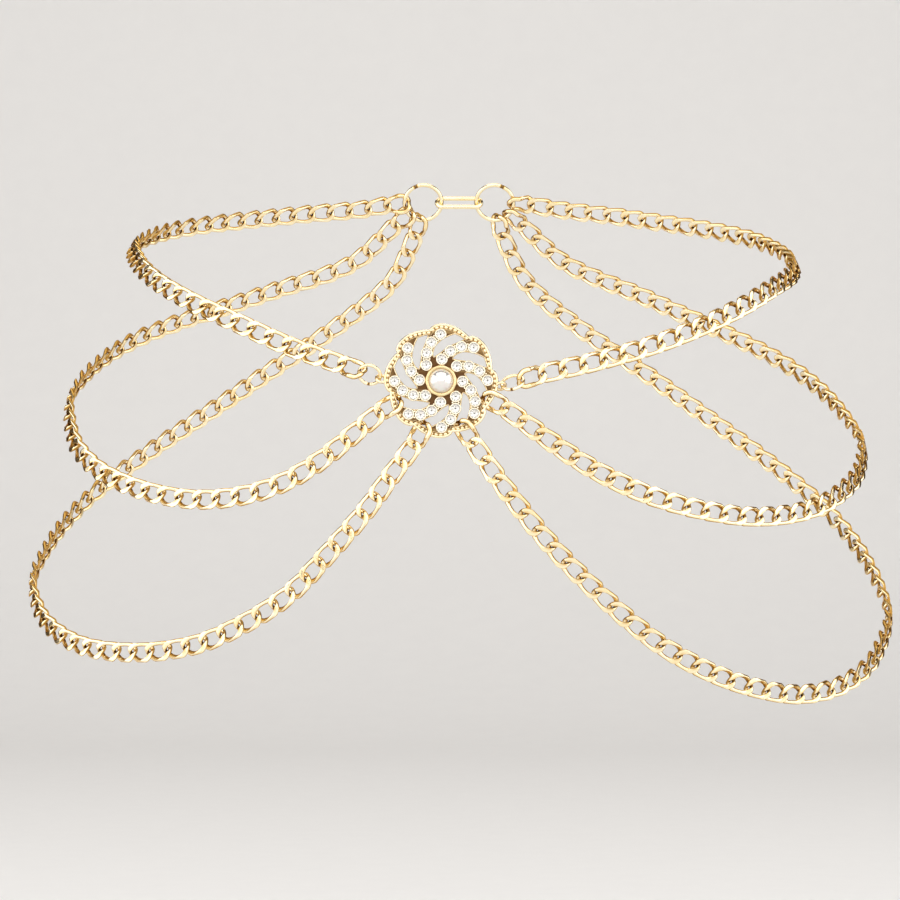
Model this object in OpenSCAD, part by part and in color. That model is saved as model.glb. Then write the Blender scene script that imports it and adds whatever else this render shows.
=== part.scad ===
// Waist chain: three draped strands of curb chain on each side of a round swirl medallion,
// joined behind by one clasp. Millimetres. +Z up, the wearer's front faces -Y, +X to the right.
// The origin is the middle of the waist opening, level with the top strand at the hips.

/* [Chain] */
// Diameter of the wire of a chain link
wire_d = 1.5; // [1.2:0.1:1.7]
// Outer length of a chain link
link_len = 11.5; // [11:0.5:13]
// Outer width of a chain link
link_w = 7.3; // [6.8:0.1:8.5]
// How far a link's bends stand out of its own plane, at the middle of the wire
link_twist = 1.1; // [0.9:0.05:1.3]
// Free play along the chain between two links
link_play = 0.4; // [0.35:0.05:0.7]

/* [Medallion] */
// Radius of the rim where a scallop begins
rim_r = 19.4; // [19:0.2:21]
// How far each scallop swells past that radius
scallop = 1.8; // [0.8:0.1:2.4]
// Width of the raised rim band
rim_band = 2.1; // [1.6:0.1:2.2]
// Thickness of the pierced plate
plate_t = 1.4; // [1:0.1:1.6]
// Height of the swirl arms over the plate
arm_rise = 0.9; // [0.5:0.1:1.4]
// Height of the rim band over the plate
rim_rise = 0.3; // [0.2:0.1:0.6]
// Diameter of the grains along the rim
grain_d = 1.2; // [0.8:0.1:1.4]
// How far the grains stand out of the rim band
grain_rise = 0.25; // [0.1:0.05:0.4]
// Width of a swirl arm
arm_w = 4.5; // [4.2:0.1:4.8]
// Diameter of the round stones
stone_d = 3.3; // [2.8:0.1:3.5]
// Depth of a stone's seat under the top of its arm
seat_depth = 1.1; // [0.8:0.1:1.3]
// Diameter of the pearl
pearl_d = 9.2; // [8:0.2:9.6]
// Height of the pearl's dome over its girdle
pearl_rise = 3.2; // [2:0.2:4]
// Wall of the bezel round the pearl
bezel_wall = 0.9; // [0.6:0.1:1]
// Height of the bezel over the plate
bezel_rise = 1.9; // [1.2:0.1:2.4]
// Gap between a setting and what it holds
seat_gap = 0.1; // [0.08:0.01:0.2]

/* [Rings and clasp] */
// Outer diameter of the two front jump rings
jump_d = 9.4; // [8.6:0.2:11]
// Wire of the two front jump rings
jump_wire = 1.2; // [1:0.1:1.3]
// Outer diameter of the two eyelets on the rim
eyelet_d = 4.6; // [4.4:0.1:5]
// Wire of the two eyelets
eyelet_wire = 1.1; // [0.9:0.1:1.2]
// Outer diameter of the two back rings
back_ring_d = 17; // [16:0.2:18]
// Wire of the back rings
back_wire = 1.6; // [1.2:0.1:1.8]
// Outer length of the clasp
clasp_len = 20; // [18:0.5:26]
// Outer width of the clasp
clasp_w = 6.4; // [6:0.2:8]
// Wire of the clasp
clasp_wire = 1.8; // [1.4:0.1:2]
// Gap between metal pieces that hang in one another
hang_gap = 0.2; // [0.15:0.05:0.3]

/* [Worn form] */
// Width of the hips at the lowest strand
hip_w = 335; // [320:5:350]
// Width of the waist level with the origin
waist_w = 258; // [245:1:270]
// Height of the widest hips under the origin
hip_drop = 170; // [160:5:185]
// Depth of the front half at the belly
belly_d = 107; // [100:1:114]
// Depth of the back half as a share of the half width
back_share = 0.71; // [0.66:0.01:0.76]
// Height of the medallion's middle under the origin
medallion_drop = 48.4; // [46:0.2:52]
// How far the medallion sits to the left of the middle
medallion_left = 7; // [5:0.5:9]
// Height of the clasp over the origin
clasp_rise = 28; // [24:1:34]

/* [Hidden] */
arms = 8;
stones_in_arm = 4;

chain_gold = "#e3bd5c";
cast_gold = "#dcc48c";
clear_stone = "#e8eaee";
pearl_white = "#f4efe6";

// The strands' routes, from the medallion to the back: angle round the form from the front, height.
TOP_LEFT = [
    [25, -36], [35, -27], [46, -18.5], [58, -10], [70, -2], [90, 7], [115, 15], [145, 22], [160, 25]
];
TOP_RIGHT = [
    [20, -41], [30, -34.5], [40, -27], [50, -19.5], [61, -12], [75, -5.5],
    [90, 2], [115, 12], [145, 21], [160, 25]
];
MIDDLE_LEFT = [
    [14.5, -68], [19, -78], [24, -86], [30, -91], [38, -92.5], [48, -89],
    [60, -81], [72, -69], [90, -50], [115, -29.5], [145, -9], [160, 3]
];
MIDDLE_RIGHT = [
    [15, -76], [20, -84], [26, -91], [33, -96], [42, -99], [52, -97.5],
    [62, -92], [75, -82], [90, -67], [115, -41], [145, -12], [160, 3]
];
LOWER_LEFT = [
    [9, -83], [12.5, -97], [17, -112], [22, -127], [28, -138], [36, -147], [47, -150.5],
    [60, -148], [74, -138], [90, -121], [115, -91], [145, -47], [160, -21], [168, -4]
];
LOWER_RIGHT = [
    [6, -88.5], [12, -110], [19, -130], [26, -146], [34, -157.5], [42, -164], [50, -166.5],
    [60, -163.5], [72, -153.5], [90, -134], [115, -98], [145, -49], [160, -22], [168, -4]
];

// Where each strand leaves the medallion and its first heading there, both as angles from the
// medallion's right-hand side, then how far the heading leans in towards the wearer.
TOP_LEFT_START = [178, 160, 18];
TOP_RIGHT_START = [-5, 17, 10];
MIDDLE_LEFT_START = [205, 211, 0];
MIDDLE_RIGHT_START = [340.2, 331, 0];
LOWER_LEFT_START = [250.5, 241, 0];
LOWER_RIGHT_START = [294.5, 302, 0];
// Where the strands meet a back ring, as angles under the way out of the clasp.
top_fan = 4;
middle_fan = 42;
lower_fan = 80;

// One quarter of a link's wire: share of its half length, half width and twist.
LINK = [[1, 0, 0], [0.92, 0.55, -1], [0.52, 0.97, -0.65]];
// The same for an end link, whose bend opens wider to pass round a rim or a ring.
END_LINK = [[1, 0, 0], [0.94, 0.48, -1], [0.6, 0.94, -1], [0.12, 1, -1]];
wire_sides = 5;

pitch = link_len - 2 * wire_d - link_play;
half_len = (link_len - wire_d) / 2;
half_w = (link_w - wire_d) / 2;
rim_reach = (plate_t + rim_rise + grain_rise) / 2;
end_twist = max(rim_reach, back_wire / 2) + wire_d / 2 + hang_gap;
chain_t = 2 * link_twist + wire_d;
lift = chain_t / 2;
swing_gap = hang_gap + 0.1;
form_power = 2.2;
belly_level = -100;
belly_fall = 9;
span_steps = 8;
straight_run = 3;

// The swirl: each arm's stones, as radius over the rim's radius and angle from the arm's root.
STONES = [[0.41, 0], [0.598, -15.5], [0.758, -29], [0.887, -42.5]];
first_arm = 88;
arm_step = 360 / arms;
// One slot between two arms, in the same shares and angles.
SLOT = [
    [0.48, 18.5], [0.552, 17.5], [0.67, 10.5], [0.773, 1], [0.861, -8], [0.927, -14.5],
    [0.922, -27.5], [0.809, -21.5], [0.711, -13.5], [0.603, -3.5], [0.526, 6.5]
];
// Small recesses between the settings: share of the radius, angle, share of the stone's size.
RECESSES = [[0.381, -22.5, 0.5], [0.905, -31, 0.42], [0.935, -55, 0.42]];
scallop_points = 8;
grains_in_scallop = 9;
notch_at = 12;
hem = 0.02;

plate_top = plate_t / 2;
arm_top = plate_top + arm_rise;
rim_top = plate_top + rim_rise;
bezel_top = plate_top + bezel_rise;
bezel_r = pearl_d / 2 + seat_gap + bezel_wall;
seat_r = stone_d / 2 + seat_gap;
medallion_y = -(front_depth(-medallion_drop) + plate_top + hang_gap);
medallion_at = [-medallion_left, medallion_y, -medallion_drop];
eyelet_r = (eyelet_d - eyelet_wire) / 2;
eyelet_sink = eyelet_wire / 4 + 0.4;
eyelet_roll = 45;
jump_r = (jump_d - jump_wire) / 2;
jump_step = eyelet_r - (eyelet_wire + jump_wire) / 2 - hang_gap + jump_r;
left_jump_roll = -34;
right_jump_roll = -53;
slot_outer_r = 0.912 * rim_r;
link_tip_r = slot_outer_r - wire_d / 2 - hang_gap;
jump_link_reach = half_len - (wire_d + jump_wire) / 2 - swing_gap;
back_r = (back_ring_d - back_wire) / 2;
back_link_reach = back_r - (wire_d + back_wire) / 2 - swing_gap + half_len;
clasp_r = (clasp_w - clasp_wire) / 2;
clasp_half = (clasp_len - clasp_wire) / 2;
clasp_roll = 62;
back_ring_at = clasp_half - (clasp_wire + back_wire) / 2 - swing_gap + back_r;

// Directions and lists.
function unit(v) = v / norm(v);
function xyz(v) = [v[0], v[1], v[2]];
function nxyz(v) = [v[3], v[4], v[5]];
function polar(r, angle) = [r * cos(angle), r * sin(angle)];

// The form that the chain is worn on.
function half_width(z) =
    (hip_w - (hip_w - waist_w) * pow(max(0, (z + hip_drop) / hip_drop), form_power)) / 2;
function front_depth(z) = belly_d - belly_fall * pow((z - belly_level) / 100, 2);
function half_depth(z, behind) = behind ? back_share * half_width(z) : front_depth(z);
function on_form(turn, z) =
    let (a = half_width(z) + lift, b = half_depth(z, abs(turn) > 90) + lift)
    [a * sin(turn), -b * cos(turn), z];
function facing(turn, z) =
    unit(cross(
        on_form(turn + 1, z) - on_form(turn - 1, z),
        on_form(turn, z + 1) - on_form(turn, z - 1)
    ));

// A point of a route: its place and the way that the chain's face looks there.
function on_medallion(spot, rise) =
    concat(medallion_at + [spot[0], -rise, spot[1]], [0, -1, 0]);
function route_point(side, row) =
    concat(on_form(side * row[0], row[1]), facing(side * row[0], row[1]));

// A seat behind, where the form looks: its way to the wearer's left, up along it, and out.
function back_turn(side) = side * (180 - asin(back_ring_at / (half_width(clasp_rise) + lift)));
function seat(turn, z) =
    let (out = facing(turn, z), up = unit([0, 0, 1] - out * out[2])) [cross(up, out), up, out, on_form(turn, z)];
function on_back_ring(side, fan, reach) =
    let (s = seat(back_turn(side), clasp_rise))
    concat(s[3] + reach * (-side * cos(fan) * s[0] - sin(fan) * s[1]), s[2]);

// A strand starts straight, with its first link in a slot's outer end or on a jump ring.
function way_off(start) =
    concat([cos(start[1]) * cos(start[2]), sin(start[2]), sin(start[1]) * cos(start[2])], [0, 0, 0]);
function from_rim(start) =
    let (p = on_medallion(polar(link_tip_r, start[0]), rim_reach - plate_top))
    [p + way_off(start) * half_len, p + way_off(start) * (half_len + straight_run)];
function eyelet_spot(start) = polar(rim_at(start[0]) + eyelet_r - eyelet_sink, start[0]);
function from_jump(start) =
    let (p = on_medallion(eyelet_spot(start) + polar(jump_step + jump_r, start[1]), 0))
    [p + way_off(start) * jump_link_reach, p + way_off(start) * (jump_link_reach + straight_run)];

// A route runs from the first link's middle to the last one's.
function route(first, side, rows, fan) =
    concat(
        first,
        [for (row = rows) route_point(side, row)],
        [for (more = [straight_run, 0]) on_back_ring(side, fan, back_link_reach + more)]
    );

// A smooth curve through a route's points, spaced by the chords between them.
function chord(p, i) = norm(xyz(p[i + 1]) - xyz(p[i]));
function slope_at(p, i) =
    i == 0 ? (p[1] - p[0]) / chord(p, 0) :
    i == len(p) - 1 ? (p[i] - p[i - 1]) / chord(p, i - 1) :
    (p[i + 1] - p[i - 1]) / (chord(p, i - 1) + chord(p, i));
function between(p, i, u) =
    let (c = chord(p, i), v = 1 - u)
    p[i] * (1 + 2 * u) * v * v + p[i + 1] * (3 - 2 * u) * u * u
        + slope_at(p, i) * c * u * v * v - slope_at(p, i + 1) * c * u * u * v;
function curve(p) = concat(
    [for (i = [0:len(p) - 2], j = [0:span_steps - 1]) between(p, i, j / span_steps)],
    [p[len(p) - 1]]
);
function runs(c) = [for (i = 0, s = 0; i < len(c); s = s + (i < len(c) - 1 ? chord(c, i) : 0), i = i + 1) s];
function tables(c) = let (s = runs(c)) [for (k = [0:5]) [for (i = [0:len(c) - 1]) [s[i], c[i][k]]]];
function length_of(t) = t[0][len(t[0]) - 1][0];
function at(t, s) = [for (k = [0:5]) lookup(s, t[k])];
function link_count(t) = ceil(length_of(t) / pitch) + 1;

// A frame on the route: the way along, the way across, the way out and the place.
function frame(t, s) =
    let (
        reach = half_len / 2,
        ahead = unit(xyz(at(t, s + reach)) - xyz(at(t, s - reach))),
        here = at(t, s),
        out = unit(nxyz(here) - ahead * (nxyz(here) * ahead)),
        side = cross(out, ahead)
    )
    [ahead, side, out, xyz(here)];
function into(f, p) = f[0] * p[0] + f[1] * p[1] + f[2] * p[2] + f[3];

// The wire's middle line round one link. wide_in and wide_out open its two ends.
function link_row(i, wide) = (wide ? END_LINK : LINK)[i];
function link_bend(i, wide) =
    let (row = link_row(i, wide), twist = wide ? end_twist : link_twist)
    [row[0] * half_len, row[1] * half_w, row[2] * twist];
function mirror_side(p) = [-p[0], p[1], -p[2]];
function half_turn(p) = [-p[0], -p[1], p[2]];
function link_path(wide_in, wide_out) =
    let (inner = len(wide_in ? END_LINK : LINK) - 1, outer = len(wide_out ? END_LINK : LINK) - 1)
    concat(
        [for (i = [0:outer]) link_bend(i, wide_out)],
        [for (i = [inner:-1:1]) mirror_side(link_bend(i, wide_in))],
        [for (i = [0:inner]) half_turn(link_bend(i, wide_in))],
        [for (i = [outer:-1:1]) half_turn(mirror_side(link_bend(i, wide_out)))]
    );
function wire_section(path, i) =
    let (
        n = len(path),
        along = unit(path[(i + 1) % n] - path[(i + n - 1) % n]),
        flat = unit(cross([0, 0, 1], along)),
        rise = cross(along, flat)
    )
    [for (k = [0:wire_sides - 1])
        let (a = 90 + 360 * k / wire_sides) path[i] + wire_d / 2 * (cos(a) * flat + sin(a) * rise)];
function skin(rings, sides) = [for (i = [0:rings - 1], k = [0:sides - 1])
    let (a = i * sides, b = (i + 1) % rings * sides, m = (k + 1) % sides) [a + k, a + m, b + m, b + k]];
function split(faces) = [for (f = faces, h = [0, 1]) h == 0 ? [f[0], f[1], f[2]] : [f[0], f[2], f[3]]];

module chain_link(f, wide_in = false, wide_out = false) {
    path = link_path(wide_in, wide_out);
    points = [for (i = [0:len(path) - 1], p = wire_section(path, i)) into(f, p)];
    polyhedron(points, split(skin(len(path), wire_sides)));
}

// A strand of single links at equal steps along its route.
module linked_chain(points) {
    t = tables(curve(points));
    n = link_count(t);
    step = length_of(t) / (n - 1);
    color(chain_gold)
        for (i = [0:n - 1]) chain_link(frame(t, i * step), i == 0, i == n - 1);
}

// A fine strand as a flat tube between its two end links, in lengths that all but meet.
tube_sides = 8;
tube_lengths = 4;
module tube_length(t, start, run, rings) {
    oval = [for (k = [0:tube_sides - 1])
        let (a = 360 * (k + 0.5) / tube_sides) [0, cos(a) * link_w / 2, sin(a) * chain_t / 2]];
    stations = [for (i = [0:rings - 1], p = oval) into(frame(t, start + run * i / (rings - 1)), p)];
    caps = [
        [for (k = [0:tube_sides - 1]) tube_sides - 1 - k],
        [for (k = [0:tube_sides - 1]) (rings - 1) * tube_sides + k]
    ];
    walls = [for (f = skin(rings, tube_sides)) if (max(f) - min(f) < 2 * tube_sides) f];
    polyhedron(stations, concat(split(walls), caps));
}
module tube_chain(points, rings) {
    t = tables(curve(points));
    inset = link_len / 2 + swing_gap;
    run = (length_of(t) - 2 * inset + swing_gap) / tube_lengths;
    color(chain_gold) {
        for (i = [0:tube_lengths - 1]) tube_length(t, inset + i * run, run - swing_gap, rings);
        chain_link(frame(t, 0), true, false);
        chain_link(frame(t, length_of(t)), false, true);
    }
}

module top_chain_left() linked_chain(route(from_jump(TOP_LEFT_START), -1, TOP_LEFT, top_fan));
module top_chain_right() linked_chain(route(from_jump(TOP_RIGHT_START), 1, TOP_RIGHT, top_fan));
module middle_chain_left() tube_chain(route(from_rim(MIDDLE_LEFT_START), -1, MIDDLE_LEFT, middle_fan), 5);
module middle_chain_right() tube_chain(route(from_rim(MIDDLE_RIGHT_START), 1, MIDDLE_RIGHT, middle_fan), 5);
module lower_chain_left() tube_chain(route(from_rim(LOWER_LEFT_START), -1, LOWER_LEFT, lower_fan), 6);
module lower_chain_right() tube_chain(route(from_rim(LOWER_RIGHT_START), 1, LOWER_RIGHT, lower_fan), 6);

// The medallion's own plane: x to the right, y up, z out of its face.
module on_front() {
    translate(medallion_at) rotate([90, 0, 0]) children();
}
function arm_angle(arm) = first_arm - arm_step * (arm - 1);
function rim_at(angle) =
    let (t = (notch_at - angle) / arm_step, part = t - floor(t))
    rim_r + scallop * sin(180 * pow(part, 0.6));
function rim_outline(inset) =
    let (n = arms * scallop_points)
    [for (i = [0:n - 1]) let (a = notch_at - 360 * i / n) polar(rim_at(a) - inset, a)];

module scalloped(height, inset = 0) {
    linear_extrude(height = height) polygon(rim_outline(inset));
}
// An arm's outline: out along one side of its stones, round the last one, and back.
function stone_spot(place, arm) = polar(STONES[place][0] * rim_r, STONES[place][1] + arm_angle(arm));
function arm_heading(place, arm) =
    let (a = max(0, place - 1), b = min(stones_in_arm - 1, place + 1), d = stone_spot(b, arm) - stone_spot(a, arm))
    atan2(d[1], d[0]);
function arm_outline(arm) =
    let (last = stones_in_arm - 1, turn = arm_heading(last, arm))
    concat(
        [for (i = [0:last]) stone_spot(i, arm) + polar(arm_w / 2, arm_heading(i, arm) - 90)],
        [for (a = [-60:30:60]) stone_spot(last, arm) + polar(arm_w / 2, turn + a)],
        [for (i = [last:-1:0]) stone_spot(i, arm) + polar(arm_w / 2, arm_heading(i, arm) + 90)]
    );
module raised_arms() {
    for (arm = [1:arms]) linear_extrude(height = arm_rise + hem) polygon(arm_outline(arm));
}
module slots() {
    for (arm = [1:arms])
        translate([0, 0, -plate_t])
            linear_extrude(height = 2 * plate_t + arm_rise)
                polygon([for (row = SLOT) polar(row[0] * rim_r, row[1] + arm_angle(arm))]);
}
module seats() {
    for (arm = [1:arms], place = [0:stones_in_arm - 1])
        translate(concat(stone_spot(place, arm), arm_top - seat_depth))
            cylinder(r = seat_r, h = seat_depth + hem, $fn = 32);
}
module recesses() {
    for (arm = [1:arms], row = RECESSES)
        translate(concat(polar(row[0] * rim_r, row[1] + arm_angle(arm)), plate_top))
            cylinder(d = row[2] * stone_d, h = arm_rise + hem, $fn = 24);
}
module grains() {
    n = arms * grains_in_scallop;
    for (i = [0:n - 1])
        let (a = notch_at - 360 * (i + 0.5) / n)
            translate(concat(polar(rim_at(a) - rim_band * 0.62, a), rim_top + grain_rise - grain_d / 2))
                sphere(d = grain_d, $fn = 20);
}
// An eyelet and its jump ring hang in line with the strand that pulls on them.
module in_line(start, reach, roll) {
    translate(concat(eyelet_spot(start) + polar(reach, start[1]), 0))
        rotate([0, 0, start[1]]) rotate([roll, 0, 0]) children();
}
module eyelet(start) {
    in_line(start, 0, eyelet_roll)
        rotate_extrude($fn = 40) translate([eyelet_r, 0]) circle(d = eyelet_wire, $fn = 20);
}
module medallion() {
    color(cast_gold) on_front() {
        difference() {
            union() {
                translate([0, 0, -plate_top]) scalloped(plate_t);
                difference() {
                    scalloped(rim_top);
                    translate([0, 0, -hem]) scalloped(rim_top + 2 * hem, rim_band);
                }
                translate([0, 0, plate_top - hem]) {
                    cylinder(r = STONES[0][0] * rim_r + arm_w / 4, h = arm_rise + hem, $fn = 64);
                    raised_arms();
                }
                cylinder(r = bezel_r, h = bezel_top, $fn = 64);
            }
            slots();
            seats();
            recesses();
            translate([0, 0, plate_top]) cylinder(d = pearl_d + 2 * seat_gap, h = bezel_rise + hem, $fn = 64);
        }
        grains();
        eyelet(TOP_LEFT_START);
        eyelet(TOP_RIGHT_START);
    }
}

// A half pearl: a flattened dome on a short straight girdle, seated on the plate.
module pearl() {
    foot = plate_top + seat_gap;
    girdle = bezel_rise * 0.6;
    r = pearl_d / 2;
    dome_r = (r * r + pearl_rise * pearl_rise) / (2 * pearl_rise);
    color(pearl_white) on_front() {
        translate([0, 0, foot]) cylinder(r = r, h = girdle, $fn = 64);
        intersection() {
            translate([0, 0, foot + girdle + pearl_rise - dome_r]) sphere(r = dome_r, $fn = 96);
            translate([0, 0, foot + girdle - hem]) cylinder(r = r, h = pearl_rise + 1, $fn = 64);
        }
    }
}

// A round cut stone: flat table, eight crown facets, a thin girdle, and a pavilion cut to a small flat.
stone_sides = 8;
module stone(arm, place) {
    floor_z = arm_top - seat_depth + seat_gap;
    girdle_z = arm_top - 0.1 * stone_d;
    rows = [
        [0.12, floor_z], [0.5, girdle_z - 0.03 * stone_d],
        [0.5, girdle_z + 0.03 * stone_d], [0.29, girdle_z + 0.2 * stone_d]
    ];
    points = [for (row = rows, k = [0:stone_sides - 1])
        let (a = 360 * k / stone_sides) concat(polar(row[0] * stone_d, a), row[1])];
    walls = [for (f = skin(len(rows), stone_sides)) if (max(f) - min(f) < 2 * stone_sides) f];
    top = (len(rows) - 1) * stone_sides;
    caps = [
        [for (k = [0:stone_sides - 1]) stone_sides - 1 - k],
        [for (k = [0:stone_sides - 1]) top + k]
    ];
    color(clear_stone) on_front()
        translate(concat(stone_spot(place - 1, arm), 0)) polyhedron(points, concat(split(walls), caps));
}

module ring(r, wire) {
    rotate_extrude($fn = 72) translate([r, 0]) circle(d = wire, $fn = 24);
}
module jump_ring(start, roll) {
    color(chain_gold) on_front() in_line(start, jump_step, roll) ring(jump_r, jump_wire);
}
module jump_ring_left() jump_ring(TOP_LEFT_START, left_jump_roll);
module jump_ring_right() jump_ring(TOP_RIGHT_START, right_jump_roll);

module seated(turn, z) {
    s = seat(turn, z);
    multmatrix([for (k = [0:2]) [s[0][k], s[1][k], s[2][k], s[3][k]]]) children();
}

// Behind, the ring on each side lies flat on the form and gathers the three strands.
module back_ring(side) {
    color(chain_gold) seated(back_turn(side), clasp_rise) ring(back_r, back_wire);
}
module back_ring_left() back_ring(-1);
module back_ring_right() back_ring(1);

// One plain closed oval through both back rings.
module clasp() {
    straight = clasp_half - clasp_r;
    color(chain_gold) seated(180, clasp_rise) rotate([clasp_roll, 0, 0])
        for (side = [-1, 1]) {
            translate([side * straight, 0, 0]) rotate([0, 0, -90 * side])
                rotate_extrude(angle = 180, $fn = 48) translate([clasp_r, 0]) circle(d = clasp_wire, $fn = 24);
            translate([-straight, side * clasp_r, 0])
                rotate([0, 90, 0]) cylinder(d = clasp_wire, h = 2 * straight, $fn = 24);
        }
}

medallion();
pearl();
jump_ring_left();
jump_ring_right();
back_ring_left();
back_ring_right();
clasp();
top_chain_left();
top_chain_right();
middle_chain_left();
middle_chain_right();
lower_chain_left();
lower_chain_right();
for (arm = [1:arms], place = [1:stones_in_arm])
    stone(arm, place);
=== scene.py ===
import math

import bmesh
import bpy
import numpy as np
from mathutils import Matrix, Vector


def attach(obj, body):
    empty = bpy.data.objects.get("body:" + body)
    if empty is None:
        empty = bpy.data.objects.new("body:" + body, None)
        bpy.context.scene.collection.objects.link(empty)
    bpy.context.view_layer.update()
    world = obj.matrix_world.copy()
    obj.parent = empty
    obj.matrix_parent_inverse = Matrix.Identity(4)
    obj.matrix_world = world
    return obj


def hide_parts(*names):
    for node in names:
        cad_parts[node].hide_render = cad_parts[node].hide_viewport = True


# The waist chain's looks. Sizes and routes are in millimetres until a mesh is made.
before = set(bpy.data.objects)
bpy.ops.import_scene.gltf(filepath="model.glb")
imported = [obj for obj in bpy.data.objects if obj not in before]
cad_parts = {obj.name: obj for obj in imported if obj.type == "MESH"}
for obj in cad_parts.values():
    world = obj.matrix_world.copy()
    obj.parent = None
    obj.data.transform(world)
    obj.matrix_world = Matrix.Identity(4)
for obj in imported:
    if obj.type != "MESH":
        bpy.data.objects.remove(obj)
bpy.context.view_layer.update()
MM = 0.001
Z = np.array([0.0, 0.0, 1.0])

# The camera stands level with the middle of the drape and looks along +Y.
camera_data = bpy.data.cameras.new("camera")
camera_data.sensor_width = 36.0
camera_data.lens = 177.66
camera = bpy.data.objects.new("camera", camera_data)
camera.location = (-0.0037, -1.750, -0.074)
camera.rotation_euler = (math.radians(90), 0, 0)
bpy.context.scene.collection.objects.link(camera)
bpy.context.scene.camera = camera

# Sizes of the chain.
WIRE_D, LINK_LEN, LINK_W, LINK_TWIST, LINK_PLAY = 1.5, 11.5, 7.3, 1.1, 0.4
HANG_GAP = 0.2
SWING_GAP = HANG_GAP + 0.1
# Sizes of the medallion.
RIM_R, SCALLOP, PLATE_T, ARM_RISE, RIM_RISE = 19.4, 1.8, 1.4, 0.9, 0.3
GRAIN_RISE = 0.25
STONE_D, PEARL_D, PEARL_RISE = 3.3, 9.2, 3.2
BEZEL_WALL, BEZEL_RISE, SEAT_GAP = 0.9, 1.9, 0.1
# Sizes of the rings and the clasp.
JUMP_D, JUMP_WIRE, EYELET_D, EYELET_WIRE = 9.4, 1.2, 4.6, 1.1
BACK_D, BACK_WIRE, CLASP_LEN, CLASP_W, CLASP_WIRE = 17.0, 1.6, 20.0, 6.4, 1.8
# The form that the chain is worn on.
HIP_W, WAIST_W, HIP_DROP, BACK_SHARE = 335.0, 258.0, 170.0, 0.71
BELLY_D, BELLY_LEVEL, BELLY_FALL = 107.0, -100, 9
MEDALLION_DROP, MEDALLION_LEFT, CLASP_RISE = 48.4, 7.0, 28.0

# The strands' routes: angle round the form from the front, height.
TOP_LEFT = [[25, -36], [35, -27], [46, -18.5], [58, -10], [70, -2],
            [90, 7], [115, 15], [145, 22], [160, 25]]
TOP_RIGHT = [[20, -41], [30, -34.5], [40, -27], [50, -19.5], [61, -12], [75, -5.5],
             [90, 2], [115, 12], [145, 21], [160, 25]]
MIDDLE_LEFT = [[14.5, -68], [19, -78], [24, -86], [30, -91], [38, -92.5], [48, -89],
               [60, -81], [72, -69], [90, -50], [115, -29.5], [145, -9], [160, 3]]
MIDDLE_RIGHT = [[15, -76], [20, -84], [26, -91], [33, -96], [42, -99], [52, -97.5],
                [62, -92], [75, -82], [90, -67], [115, -41], [145, -12], [160, 3]]
LOWER_LEFT = [[9, -83], [12.5, -97], [17, -112], [22, -127], [28, -138], [36, -147], [47, -150.5],
              [60, -148], [74, -138], [90, -121], [115, -91], [145, -47], [160, -21], [168, -4]]
LOWER_RIGHT = [[6, -88.5], [12, -110], [19, -130], [26, -146], [34, -157.5], [42, -164], [50, -166.5],
               [60, -163.5], [72, -153.5], [90, -134], [115, -98], [145, -49], [160, -22], [168, -4]]
# Where each strand leaves the medallion, its first heading, and how far that leans in.
TOP_LEFT_START, TOP_RIGHT_START = [178, 160, 18], [-5, 17, 10]
MIDDLE_LEFT_START, MIDDLE_RIGHT_START = [205, 211, 0], [340.2, 331, 0]
LOWER_LEFT_START, LOWER_RIGHT_START = [250.5, 241, 0], [294.5, 302, 0]
TOP_FAN, MIDDLE_FAN, LOWER_FAN = 4, 42, 80

# One quarter of a link's wire: share of its half length, half width and twist.
LINK = [[1, 0, 0], [0.88, 0.5, -1], [0.5, 0.97, -0.86]]
END_LINK = [[1, 0, 0], [0.94, 0.48, -1], [0.6, 0.94, -1], [0.12, 1, -1]]

# The swirl: stones and slots as shares of the rim's radius and angles from an arm's root.
STONES = [[0.41, 0], [0.598, -15.5], [0.758, -29], [0.887, -42.5]]
SLOT = [[0.48, 18.5], [0.552, 17.5], [0.67, 10.5], [0.773, 1], [0.861, -8], [0.927, -14.5],
        [0.922, -27.5], [0.809, -21.5], [0.711, -13.5], [0.603, -3.5], [0.526, 6.5]]
ARMS, FIRST_ARM, NOTCH_AT, GRAINS_IN_SCALLOP, STEPS_IN_SCALLOP = 8, 88, 12, 9, 24

PITCH = LINK_LEN - 2 * WIRE_D - LINK_PLAY
HALF_LEN = (LINK_LEN - WIRE_D) / 2
HALF_W = (LINK_W - WIRE_D) / 2
RIM_REACH = (PLATE_T + RIM_RISE + GRAIN_RISE) / 2
END_TWIST = max(RIM_REACH, BACK_WIRE / 2) + WIRE_D / 2 + HANG_GAP
LIFT = (2 * LINK_TWIST + WIRE_D) / 2
STRAIGHT_RUN, SPAN_STEPS, FORM_POWER = 3, 8, 2.2
PLATE_TOP = PLATE_T / 2
ARM_TOP = PLATE_TOP + ARM_RISE
RIM_TOP = PLATE_TOP + RIM_RISE
BEZEL_TOP = PLATE_TOP + BEZEL_RISE
BEZEL_R = PEARL_D / 2 + SEAT_GAP + BEZEL_WALL
EYELET_R = (EYELET_D - EYELET_WIRE) / 2
EYELET_SINK = EYELET_WIRE / 4 + 0.4
JUMP_R = (JUMP_D - JUMP_WIRE) / 2
JUMP_STEP = EYELET_R - (EYELET_WIRE + JUMP_WIRE) / 2 - HANG_GAP + JUMP_R
EYELET_ROLL, LEFT_JUMP_ROLL, RIGHT_JUMP_ROLL = 45, -34, -53
LINK_TIP_R = 0.912 * RIM_R - WIRE_D / 2 - HANG_GAP
JUMP_LINK_REACH = HALF_LEN - (WIRE_D + JUMP_WIRE) / 2 - SWING_GAP
BACK_R = (BACK_D - BACK_WIRE) / 2
BACK_LINK_REACH = BACK_R - (WIRE_D + BACK_WIRE) / 2 - SWING_GAP + HALF_LEN
CLASP_R = (CLASP_W - CLASP_WIRE) / 2
CLASP_HALF = (CLASP_LEN - CLASP_WIRE) / 2
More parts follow.
